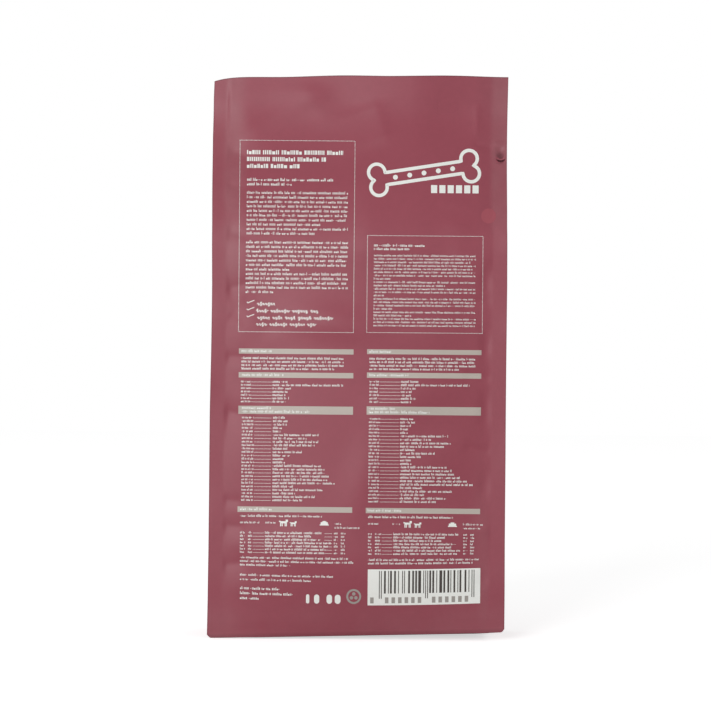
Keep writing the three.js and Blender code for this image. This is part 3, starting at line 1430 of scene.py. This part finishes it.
LEFT_ROW_LENGTHS = (
    (9, 10, 9, 6, 5, 30, 22, 30, 28, 10, 20, 12, 7)
    + (8, 32, 34, 34, 37, 37, 41, 14, 34, 15, 28, 20)
)
RIGHT_ROW_LENGTHS = (
    (9, 9.5, 8, 6, 5, 31.5, 20.5, 33, 29, 10.5, 23, 14, 7.5)
    + (8, 30.5, 34, 36, 39.5, 44, 48, 14.5, 34, 16, 31, 24)
)


BODY_END = 76.7
BODY_ROWS = 22
SHORT_ROWS = {2: 73.4, 4: 74.7, 7: 21.6, 9: 56.4, 12: 16.4, 16: 22.4, 18: 34.9}


def small_print() -> list:
    """Everything that is set in fine white print, apart from headings.

    Returns:
        The print's items, left column first.
    """
    left = [
        Lines(SUBTITLE, -73.9, 302.9, 3.0, (-17.2, -44.7)),
        Lines(BODY_FACE, -73.9, 294.4, 2.967, (-7.6,) * 7 + (-25.2, -7.4, -29.4)),
        Lines(BODY_FACE, -74.2, 261.9, 2.964, (-7.3,) * 6 + (-45.8,) + (-7.3,) * 4 + (-55.6,)),
        *(Tick(-73.3, z) for z in (222.7, 218.1, 213.5)),
        Wave(-66.7, -51.6, 221.4),
        Wave(-67.2, -26.4, 216.8),
        Wave(-66.5, -13.5, 212.3),
        Wave(-67.2, -28.0, 208.0),
        Lines(FINE_BOLD, -76.5, 185.9, 2.3, (-9.6, -9.6, -9.6, -15.8)),
        *table_print((-76.7, -70.1), (-70, -56.6), -56, 170.5, 2.18, (-45.8, -9.6, -44, -46, -47, -45, -47)),
        *table_print(
            (-75.9, -68), (-67.6, -56.2), -55.5, 146.9, 2.254, (n - 55.5 for n in LEFT_ROW_LENGTHS)
        ),
        Lines(FINE_BOLD, -76.6, 82.4, 2.2, (-23,)),
        Lines(NUMBERS, -76.6, 78.1, 2.2, (-63.5,)),
        Lines(NUMBERS, -60, 78.1, 2.2, (-53,)),
        Lines(NUMBERS, -14.5, 77.6, 2.6, (-10, 2)),
        Lines(NUMBERS, -76.5, 71.4, 2.18, (-73.2,) * 7),
        Lines(NUMBERS, -71.2, 71.4, 2.18, (-68.6,) * 7),
        Leader(-68, -60.8, 71.4, 2.18, 7),
        Lines(FINE_BOLD, -60.1, 71.4, 2.18, (-22, -29.2, -23.3, -16.8, -18.7, -20, -21.3)),
        Leader(-21, -15.8, 71.4, 2.18, 7),
        Lines(NUMBERS, -14.9, 71.4, 2.18, (-12.3,) * 7),
        Lines(NUMBERS, -10.3, 71.4, 2.18, (-7.4,) * 7),
        Lines(FINE_BOLD, -76.4, 54.7, 2.5, (-4.5, -0.9, -43.5)),
        Lines(FINE_BOLD, -76.3, 42.9, 3.0, (-15.3, -29.7)),
        Lines(SUBTITLE, -76.2, 34.0, 3.25, (-50, -41.5, -62.4)),
    ]
    right_body = [SHORT_ROWS.get(row, BODY_END) for row in range(BODY_ROWS)]
    right = [
        Lines(FINE, 9.8, 253.9, 2.186, tuple(right_body)),
        Lines(FINE_BOLD, 7.4, 186.2, 2.27, (77, 77, 77, 66.5)),
        *table_print((7.6, 13.8), (14.2, 27.6), 28.2, 171.2, 2.23, (40, 73.5, 37.8, 35.5, 34.8, 38.8, 34.9)),
        *table_print((7.4, 14.6), (15, 27.5), 28, 146.8, 2.263, (n + 28 for n in RIGHT_ROW_LENGTHS)),
        Lines(FINE_BOLD, 7.4, 82.3, 2.2, (63,)),
        Lines(NUMBERS, 7.4, 77.9, 2.2, (14.6,)),
        Lines(NUMBERS, 23.5, 77.9, 2.2, (28.3,)),
        Lines(NUMBERS, 69.7, 77.9, 2.5, (83.1, 80.8)),
        Lines(NUMBERS, 7.5, 71.2, 2.18, (10.1,) * 7),
        Lines(NUMBERS, 12.1, 71.2, 2.18, (16,) * 7),
        Leader(16.6, 23.4, 71.2, 2.18, 7),
        Lines(FINE_BOLD, 24, 71.2, 2.18, (67.2, 58, 56, 66.5, 63.2, 67.8, 65.9)),
        Lines(NUMBERS, 70, 71.2, 2.18, (72.6,) * 7),
        Lines(NUMBERS, 74.5, 71.2, 2.18, (77.2,) * 7),
        Lines(FINE_BOLD, 7.6, 54.1, 2.3, (80.7, 76.5)),
    ]
    return left + right


def headings() -> list:
    """Bold headings on the bare film."""
    return [
        Lines(HEADING, -74.1, 321.0, 4.5, (-11.1, -21.6, -38.3)),
        Lines(ON_BAR, 9.7, 260.5, 2.3, (43, 33.7)),
    ]


def bar_headings() -> list:
    """White headings on the grey bars."""
    return [
        Lines(ON_BAR, -76.6, 190.5, 2, (-56.6,)),
        Lines(ON_BAR, -76.0, 174.9, 2, (-49,)),
        Lines(ON_BAR, -76.0, 153.2, 2.3, (-56.5, -31.3)),
        Lines(ON_BAR, -76.6, 86.8, 2, (-56,)),
        Lines(ON_BAR, 7.3, 190.8, 2, (21.7,)),
        Lines(ON_BAR, 7.3, 175.4, 2, (33.5,)),
        Lines(ON_BAR, 7.3, 153.4, 2.3, (25.3, 47.3)),
        Lines(ON_BAR, 7.0, 86.6, 2, (29,)),
    ]


GREY_BARS = (
    (-78.3, 188.8, -3.1, 192.2),
    (-78.3, 173.15, -3.1, 176.65),
    (-78.3, 149.3, -3.1, 154.6),
    (-78.3, 85.0, -3.1, 88.6),
    (5.8, 189.2, 80.8, 192.4),
    (5.8, 173.65, 80.8, 177.15),
    (5.8, 149.5, 80.8, 154.9),
    (5.8, 84.85, 80.8, 88.35),
)


@dataclass(frozen=True)
class BoneMark:
    """Generic dog bone, drawn in outline, with a row of kibbles in it."""

    centre: tuple[float, float] = (42.1, 308.3)
    length: float = 72.0
    shaft: float = 8.0
    knob: float = 5.4
    line: float = 2.2
    lean_degrees: float = 9.0
    knob_reach: float = 0.92
    knob_points: int = 21
    kibbles: int = 5
    kibble: float = 0.2
    kibble_row: float = 0.62

    def quads(self) -> list[np.ndarray]:
        """Outline of the bone, and a row of round kibbles in it.

        Returns:
            Arrays of n, 4 and x, z.
        """
        half = self.length / 2 - self.knob
        reach = self.knob * self.knob_reach
        outline = stroke(self.ordered(half, reach), self.line, closed=True)
        dots = [
            arc_band((x, 0), 0, self.shaft * self.kibble)
            for x in np.linspace(-half * self.kibble_row, half * self.kibble_row, self.kibbles)
        ]
        return [self.place(quads) for quads in [outline, *dots]]

    def ordered(self, half: float, reach: float) -> list[tuple[float, float]]:
        """Points round the bone, anticlockwise from its right end's middle.

        Args:
            half: from the middle to a knob's centre.
            reach: from the centre line to a knob's centre.

        Returns:
            The outline's points.
        """
        dip = math.degrees(math.asin(reach / self.knob))
        join = math.degrees(math.asin((self.shaft / 2 - reach) / self.knob))
        quarter = [
            (half + self.knob * math.cos(t), reach + self.knob * math.sin(t))
            for t in np.radians(np.linspace(-dip, 180 - join, self.knob_points))
        ]
        left = [(-x, z) for x, z in reversed(quarter)]
        upper = quarter + left
        return upper + [(-x, -z) for x, z in upper[1:-1]]

    def place(self, quads: np.ndarray) -> np.ndarray:
        """Turn and move quads to the mark's place.

        Args:
            quads: an array of n, 4 and x, z about the bone's middle.

        Returns:
            The same array in its place.
        """
        turn = math.radians(self.lean_degrees)
        spin = np.array([[math.cos(turn), math.sin(turn)], [-math.sin(turn), math.cos(turn)]])
        return quads @ spin + self.centre


@dataclass(frozen=True)
class Barcode:
    """White panel with upright bars of made-up widths, over a row of plain blocks."""

    panel: tuple[float, float, float, float] = (7.5, 24.3, 81.3, 47.9)
    left: float = 14.9
    module: float = 0.66
    bleed: float = 0.14
    low: float = 32.0
    guard_low: float = 28.6
    high: float = 46.9
    runs: str = (
        "111" + "2221" "1222" "2131" "1132" "2212" "1321"
        + "11111" + "2122" "1231" "2221" "1222" "1123" "2212" + "111"
    )
    guards: tuple[tuple[int, int], ...] = ((0, 3), (45, 50), (92, 95))
    block: tuple[float, float] = (2.3, 3.9)
    block_low: float = 25.6
    first_block: float = 9.2
    block_groups: tuple[float, float] = (18.9, 49.7)
    block_pitch: float = 4.3
    group_size: int = 6
    tile_size: float = 1.5

    def bar_quads(self) -> list[np.ndarray]:
        """Upright bars, with longer ones at the ends and in the middle.

        Returns:
            Arrays of n, 4 and x, z.
        """
        made = []
        at = 0
        for number, run in enumerate(map(int, self.runs)):
            if number % 2 == 0:
                long = any(first <= at < last for first, last in self.guards)
                low = self.guard_low if long else self.low
                x = self.left + at * self.module
                end = x + run * self.module - self.bleed
                made.append(tile(x, low, end, self.high, self.tile_size))
            at += run
        return made

    def block_quads(self) -> list[np.ndarray]:
        """Row of plain blocks under the bars.

        Returns:
            Arrays of n, 4 and x, z.
        """
        wide, tall = self.block
        low = self.block_low
        lefts = [self.first_block]
        for start in self.block_groups:
            lefts += [start + number * self.block_pitch for number in range(self.group_size)]
        return [tile(left, low, left + wide, low + tall, self.tile_size) for left in lefts]


@dataclass(frozen=True)
class RingEmblem:
    """A ring round three dots."""

    centre: tuple[float, float] = (-1.6, 30.1)
    inner: float = 3.6
    outer: float = 4.9
    dot_reach: float = 1.7
    dot: float = 1.15
    dot_turns: tuple[float, ...] = (90, 210, 330)

    def quads(self) -> list[np.ndarray]:
        """Draw the ring and its dots.

        Returns:
            Arrays of n, 4 and x, z.
        """
        x, z = self.centre
        made = [arc_band(self.centre, self.inner, self.outer)]
        for turn in np.radians(self.dot_turns):
            place = (x + self.dot_reach * math.cos(turn), z + self.dot_reach * math.sin(turn))
            made.append(arc_band(place, 0, self.dot))
        return made


DOG = (
    (0.12, 0.42, 0.85, 0.72),
    (0.12, 0, 0.24, 0.5),
    (0.3, 0, 0.4, 0.5),
    (0.62, 0, 0.72, 0.5),
    (0.76, 0, 0.86, 0.5),
    (0.72, 0.6, 0.98, 0.95),
    (0, 0.6, 0.16, 0.78),
)
BOWL = ((0, 0.15, 1, 0.35), (0.1, 0.35, 0.9, 0.75), (0.3, 0.75, 0.7, 0.95))
ICONS = (
    (DOG, -51, 75.8, 6.0, 4.6),
    (DOG, -43.9, 75.8, 4.5, 3.5),
    (BOWL, -24.3, 76.0, 5.9, 3.6),
    (DOG, 30.6, 75.6, 5.6, 4.6),
    (DOG, 37.5, 75.6, 4.9, 3.6),
    (BOWL, 59.8, 75.8, 5.9, 3.6),
)
LABEL_FRAMES = (Frame(-78.7, 203.2, -3.3, 328.8), Frame(5.4, 203.4, 81.2, 267.0))
PILLS = ((-32.9, 2.2), (-27.6, 3.4), (-19.4, 3.6), (-14.0, 3.8))


def icons() -> list[np.ndarray]:
    """Small generic dogs and bowls above the lower tables.

    Returns:
        Quads of every icon.
    """
    made = []
    for shape, left, low, width, height in ICONS:
        for x0, z0, x1, z1 in shape:
            made.append(tile(left + x0 * width, low + z0 * height, left + x1 * width, low + z1 * height))
    return made


@dataclass
class LabelPrint:
    """All of the print on the label panel."""

    press: LabelPress
    ink_lift: float = 0.06
    second_lift: float = 0.12
    seed: int = 20
    block_lefts: tuple[float, float] = (46.8, 74.0)
    block_low: float = 295.2
    block_high: float = 300.4
    block_width: float = 4.0
    block_count: int = 6
    disc_centre: tuple[float, float] = (84.7, 280.5)
    disc_radius: float = 4.9
    pill_low: float = 25.2
    pill_height: float = 6.0

    def lay(
        self, name: str, quads: list[np.ndarray], ink: bpy.types.Material, lift: float
    ) -> bpy.types.Object:
        """Make one printed piece from quads in the layout plane.

        Args:
            name: the piece's name.
            quads: arrays of n, 4 and x, z.
            ink: its finish.
            lift: how far it stands off the film.

        Returns:
            The piece.
        """
        flat = np.concatenate(quads).reshape(-1, 2)
        points = self.press.press(flat, lift)
        faces = np.arange(len(points)).reshape(-1, 4)
        piece = mesh_object(name, points, faces)
        piece.data.materials.append(ink)
        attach(piece, BODY)
        log.info("%s: %d faces", name, len(faces))
        return piece

    def build(self) -> None:
        """Print every piece of the label."""
        dice = np.random.default_rng(self.seed)
        white = PrintedInk("white_ink", Pigment.WHITE).make()
        grey = PrintedInk("warm_grey_ink", Pigment.GREY).make()
        dark = PrintedInk("dark_ink", Pigment.DARK).make()
        emblem = PrintedInk("emblem_grey_ink", Pigment.EMBLEM).make()
        blush = PrintedInk("blush_ink", Pigment.BLUSH).make()

        def setting(items: Iterable) -> list[np.ndarray]:
            """Set items in turn, as they share one source of chance."""
            return [quads for item in items for quads in item.quads(dice)]

        blocks = [
            tile(x, self.block_low, x + self.block_width, self.block_high)
            for x in np.linspace(*self.block_lefts, self.block_count)
        ]
        disc = arc_band(self.disc_centre, 0, self.disc_radius)
        pills = [pill(left, self.pill_low, width, self.pill_height) for left, width in PILLS]
        code = Barcode()
        first, second = self.ink_lift, self.second_lift
        pieces = [
            ("label_frames", setting(LABEL_FRAMES), white, first),
            ("label_bars", [tile(*bar) for bar in GREY_BARS], grey, first),
            ("bar_headings", setting(bar_headings()), white, second),
            ("label_headings", setting(headings()), white, first),
            ("small_print", setting(small_print()), white, first),
            ("feeding_icons", icons(), white, first),
            ("bone_mark", BoneMark().quads(), white, first),
            ("mark_blocks", blocks, white, first),
            ("blush_disc", [disc], blush, first),
            ("barcode_panel", [tile(*code.panel)], white, first),
            ("barcode_bars", code.bar_quads(), dark, second),
            ("barcode_blocks", code.block_quads(), emblem, second),
            ("ring_emblem", RingEmblem().quads(), emblem, first),
            ("pill_marks", pills, white, first),
        ]
        for name, quads, ink, lift in pieces:
            self.lay(name, quads, ink, lift)


# The studio


@dataclass(frozen=True)
class SoftBox:
    """A square studio light that points at the bag's middle."""

    name: str
    place: tuple[float, float, float]
    side: float
    power: float
    target: tuple[float, float, float] = (0.0, 0.0, 0.19)

    def build(self) -> None:
        """Hang the light."""
        deselect()
        bpy.ops.object.light_add(type="AREA", location=self.place)
        light = bpy.context.object
        light.name = self.name
        light.data.shape = "SQUARE"
        light.data.size = self.side
        light.data.energy = self.power
        aim = Vector(self.target) - Vector(self.place)
        light.rotation_euler = aim.to_track_quat("-Z", "Y").to_euler()


@dataclass(frozen=True)
class Studio:
    """Pale floor, white surroundings, soft light from the upper left, and the camera."""

    viewpoint: Viewpoint
    ambient: float = 0.42
    floor_side: float = 8.0
    floor_colour: str = "#F2F2F2"
    floor_lift: float = 0.6
    lights: tuple[SoftBox, ...] = (
        SoftBox("key_light", (-1.85, -3.95, 1.1), 1.8, 118.0),
        SoftBox("fill_light", (0.7, -2.2, 0.14), 1.4, 5.0),
    )

    def build(self) -> None:
        """Set up everything around the bag."""
        self.build_world()
        self.build_floor()
        for light in self.lights:
            light.build()
        self.build_camera()

    def build_world(self) -> None:
        """White for what is seen straight or in a reflection, and dimmer as a light."""
        world = bpy.data.worlds.new("white_surroundings")
        bpy.context.scene.world = world
        world.use_nodes = True
        tree = world.node_tree
        tree.nodes.clear()
        path = add_node(tree, "ShaderNodeLightPath")
        seen = path.outputs["Is Camera Ray"]
        for name in ("Is Glossy Ray", "Is Transmission Ray"):
            seen = add_node(
                tree, "ShaderNodeMath", {0: seen, 1: path.outputs[name]}, operation="MAXIMUM"
            ).outputs[0]
        level = add_node(
            tree, "ShaderNodeMapRange", {"Value": seen, "To Min": self.ambient, "To Max": 1.0}
        )
        background = add_node(
            tree,
            "ShaderNodeBackground",
            {"Color": PURE_WHITE, "Strength": level.outputs["Result"]},
        )
        add_node(tree, "ShaderNodeOutputWorld", {"Surface": background.outputs["Background"]})

    def build_floor(self) -> None:
        """Wide pale floor that keeps the bag's shadow but looks white away from it."""
        deselect()
        bpy.ops.mesh.primitive_plane_add(size=self.floor_side)
        floor = bpy.context.object
        floor.name = "floor"
        material, tree = new_material("pale_floor")
        path = add_node(tree, "ShaderNodeLightPath")
        paper = add_node(tree, "ShaderNodeBsdfDiffuse", {"Color": linear(self.floor_colour)})
        lift = add_node(
            tree,
            "ShaderNodeMath",
            {0: path.outputs["Is Camera Ray"], 1: self.floor_lift},
            operation="MULTIPLY",
        )
        glow = add_node(
            tree, "ShaderNodeEmission", {"Color": PURE_WHITE, "Strength": lift.outputs[0]}
        )
        both = add_node(tree, "ShaderNodeAddShader", {0: paper.outputs[0], 1: glow.outputs[0]})
        add_node(tree, "ShaderNodeOutputMaterial", {"Surface": both.outputs[0]})
        floor.data.materials.append(material)

    def build_camera(self) -> None:
        """Square-on camera, rolled a little as in the photograph."""
        deselect()
        bpy.ops.object.camera_add()
        camera = bpy.context.object
        camera.name = "camera"
        roll = math.radians(self.viewpoint.roll_degrees)
        level = Matrix.Rotation(math.pi / 2, 4, "X") @ Matrix.Rotation(roll, 4, "Z")
        camera.matrix_world = Matrix.Translation(Vector(self.viewpoint.eye) * MM) @ level
        camera.data.sensor_width = self.viewpoint.sensor
        camera.data.lens = self.viewpoint.lens
        bpy.context.scene.camera = camera
        bpy.context.scene.view_settings.view_transform = "Standard"


# Putting it together


def label_forms() -> list[Fold | Swell]:
    """Folds and swells of the label panel, seen square-on."""
    top = [
        Fold((-84, 333), (-22, 368), 2.5, 20, 13, 3.5),
        Swell((-20, 352), (20, 10), 0.6, -20),
        Fold((18, 330), (8, 360), 1.4, 26, 7, 3.0),
        Swell((52, 346), (20, 14), -1.3, 20),
        Fold((78.5, 337), (78.6, 358), 0.6, 3, 2.2, 0.7),
        Fold((76, 331), (90, 328), -0.6, 2.2, 2.2, 0.8),
    ]
    left_edge = [
        Swell((-79, 352), (14, 17), 0.54),
        Swell((-79, 288), (10, 9), 0.48),
        Swell((-77, 253), (10, 11), 0.42, 25),
        Swell((-72, 208), (14, 16), 1.14),
        Swell((-78, 179), (9, 5), 0.36),
        Swell((-77, 118), (11, 19), 0.6),
        Swell((-78, 85), (9, 5), 0.3),
        Swell((-77, 63), (10, 7), 0.42),
        Swell((-77, 34), (10, 8), 0.36),
        Fold((-89, 326), (-66, 316), -1.2, 5, 6, 1.2),
        Fold((-89, 301), (-74, 299), -0.8, 3, 4, 1.0),
        Fold((-89, 270), (-72, 266), -0.8, 4, 4, 1.2),
        Fold((-89, 231), (-70, 236), -1.4, 5, 6, 1.2),
        Fold((-87, 214), (-77, 206), -0.5, 3, 3, 1.0),
        Fold((-54, 203), (-77, 229), -1.5, 9, 6, 1.4),
        Fold((-89, 187), (-72, 186), -0.8, 3, 4, 1.0),
        Fold((-89, 151), (-68, 146), -1.4, 6, 7, 1.4),
        Fold((-89, 92), (-76, 91), -0.7, 3, 4, 1.0),
        Fold((-89, 75), (-74, 74), -0.8, 4, 4, 1.0),
        Fold((-89, 49), (-72, 51), -0.8, 4, 5, 1.0),
    ]
    right_edge = [
        Swell((84, 237), (3.5, 8), -0.9),
        Swell((84, 195), (3.5, 10), -1.0),
        Swell((84, 153), (3.5, 12), -0.9),
        Swell((84, 103), (3.5, 9), -0.8),
        Swell((83, 40), (3.5, 6), -0.7),
        Swell((64, 274), (8, 5), 0.8, 15),
        Swell((62, 290), (7, 4), 0.6),
        Fold((60, 258), (88, 250), 0.8, 5, 7, 1.5),
        Fold((66, 222), (88, 226), -0.7, 3, 4, 1.0),
        Fold((70, 176), (88, 174), -0.7, 3, 3, 1.0),
        Fold((70, 128), (88, 125), -0.7, 3, 3, 1.0),
        Fold((66, 70), (88, 74), 0.7, 4, 5, 1.5),
    ]
    middle = [
        Swell((-18, 210), (30, 12), 3.0, -8),
        Swell((6, 110), (13, 30), 1.9, -12),
        Fold((8, 246), (3, 310), 1.5, 16, 24, 5),
        Swell((34, 160), (26, 13), 1.8, 20),
        Swell((-38, 60), (30, 11), 1.3, -10),
        Swell((48, 118), (22, 15), 1.6, 10),
        Swell((50, 205), (18, 12), 1.0, -15),
    ]
    return top + left_edge + right_edge + middle


def front_forms() -> list[Fold | Swell]:
    """Folds and swells of the shop front's panel."""
    return [
        Fold((82, 330), (24, 366), 2.2, 17, 12),
        Fold((-20, 330), (-10, 360), 1.4, 24, 5, 2.2),
        Swell((-42, 344), (20, 13), 1.0, -15),
        Fold((-88, 322), (-62, 312), -1.2, 5, 6, 1.2),
        Fold((-88, 262), (-66, 266), -1.2, 5, 6, 1.2),
        Fold((-88, 196), (-68, 190), -1.3, 5, 6, 1.4),
        Fold((-88, 128), (-70, 131), -1.1, 5, 5, 1.2),
        Fold((-88, 62), (-72, 60), -0.9, 4, 5, 1.0),
        Fold((88, 298), (64, 306), -1.2, 6, 5, 1.2),
        Fold((88, 232), (62, 228), -1.4, 6, 6, 1.4),
        Fold((88, 168), (68, 172), -1.1, 5, 5, 1.2),
        Fold((88, 96), (70, 92), -1.1, 5, 5, 1.2),
        Swell((-72, 228), (12, 15), 1.5),
        Swell((74, 200), (12, 16), 1.5),
        Swell((-74, 94), (12, 14), 1.2),
        Swell((12, 214), (30, 12), 2.4, 12),
        Swell((-14, 122), (20, 30), 2.8, 10),
        Swell((40, 96), (22, 14), 1.4, -10),
        Swell((-36, 262), (22, 13), 1.4, -15),
        Fold((6, 250), (-4, 312), 1.8, 18, 22, 5),
    ]


def gusset_forms() -> list[Fold | Swell]:
    """Puckers of the side gussets, by place across their depth and height."""
    return [
        Swell((-12, 150), (9, 20), -1.6, 10),
        Swell((12, 112), (10, 18), -1.5, -10),
        Swell((-10, 70), (10, 16), 1.6),
        Swell((13, 182), (8, 14), -1.3),
        Swell((8, 60), (8, 12), -1.0, 20),
        Fold((-29, 205), (-8, 188), -1.8, 6, 8, 2.0),
        Fold((29, 142), (8, 150), -1.5, 6, 7, 2.0),
        Fold((-29, 98), (-12, 104), -1.2, 5, 6, 1.6),
        Fold((29, 218), (10, 200), -1.8, 8, 6, 2.0),
    ]


def seal_forms() -> list[Fold | Swell]:
    """Waves of the label side's upright seals, and the dent above the tear notch."""
    right = [
        Swell((101, 354), (7, 22), 0.6),
        Swell((101, 268), (7, 14), 0.8),
        Swell((101, 205), (7, 12), 0.6),
        Swell((101, 120), (7, 16), 0.6),
        Swell((94.4, 325.0), (2.4, 4.4), -1.9),
        Fold((90.0, 333), (96, 330), 0.6, 1.2, 1.4, 0.5),
        Fold((91.0, 318), (97, 317), 0.5, 1.0, 1.4, 0.5),
    ]
    left = [
        Swell((-101, 350), (7, 16), -0.9),
        Swell((-101, 300), (7, 12), 0.6),
        Swell((-101, 222), (7, 14), -0.8),
        Swell((-101, 170), (7, 12), 0.6),
        Swell((-101, 96), (7, 16), -0.6),
    ]
    return right + left


def main() -> None:
    """Build the bag, its print and the studio."""
    logging.basicConfig(level=logging.INFO, format="%(name)s: %(message)s")
    deselect()
    viewpoint = Viewpoint()
    bag = FilmBag(
        label_relief=label_forms(),
        front_relief=front_forms(),
        seal_relief=seal_forms(),
        gusset_relief=gusset_forms(),
    )
    film = bag.build()
    TearNotch().cut(film)
    film.data.materials.append(LaminatedFilm().make())
    deselect()
    film.select_set(True)
    bpy.context.view_layer.objects.active = film
    bpy.ops.object.shade_smooth_by_angle(angle=SMOOTH_ANGLE)
    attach(film, BODY)
    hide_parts("bag")
    log.info("film_bag: %d faces", len(film.data.polygons))
    LabelPrint(LabelPress(film, viewpoint)).build()
    Studio(viewpoint).build()


if __name__ == "__main__":
    main()
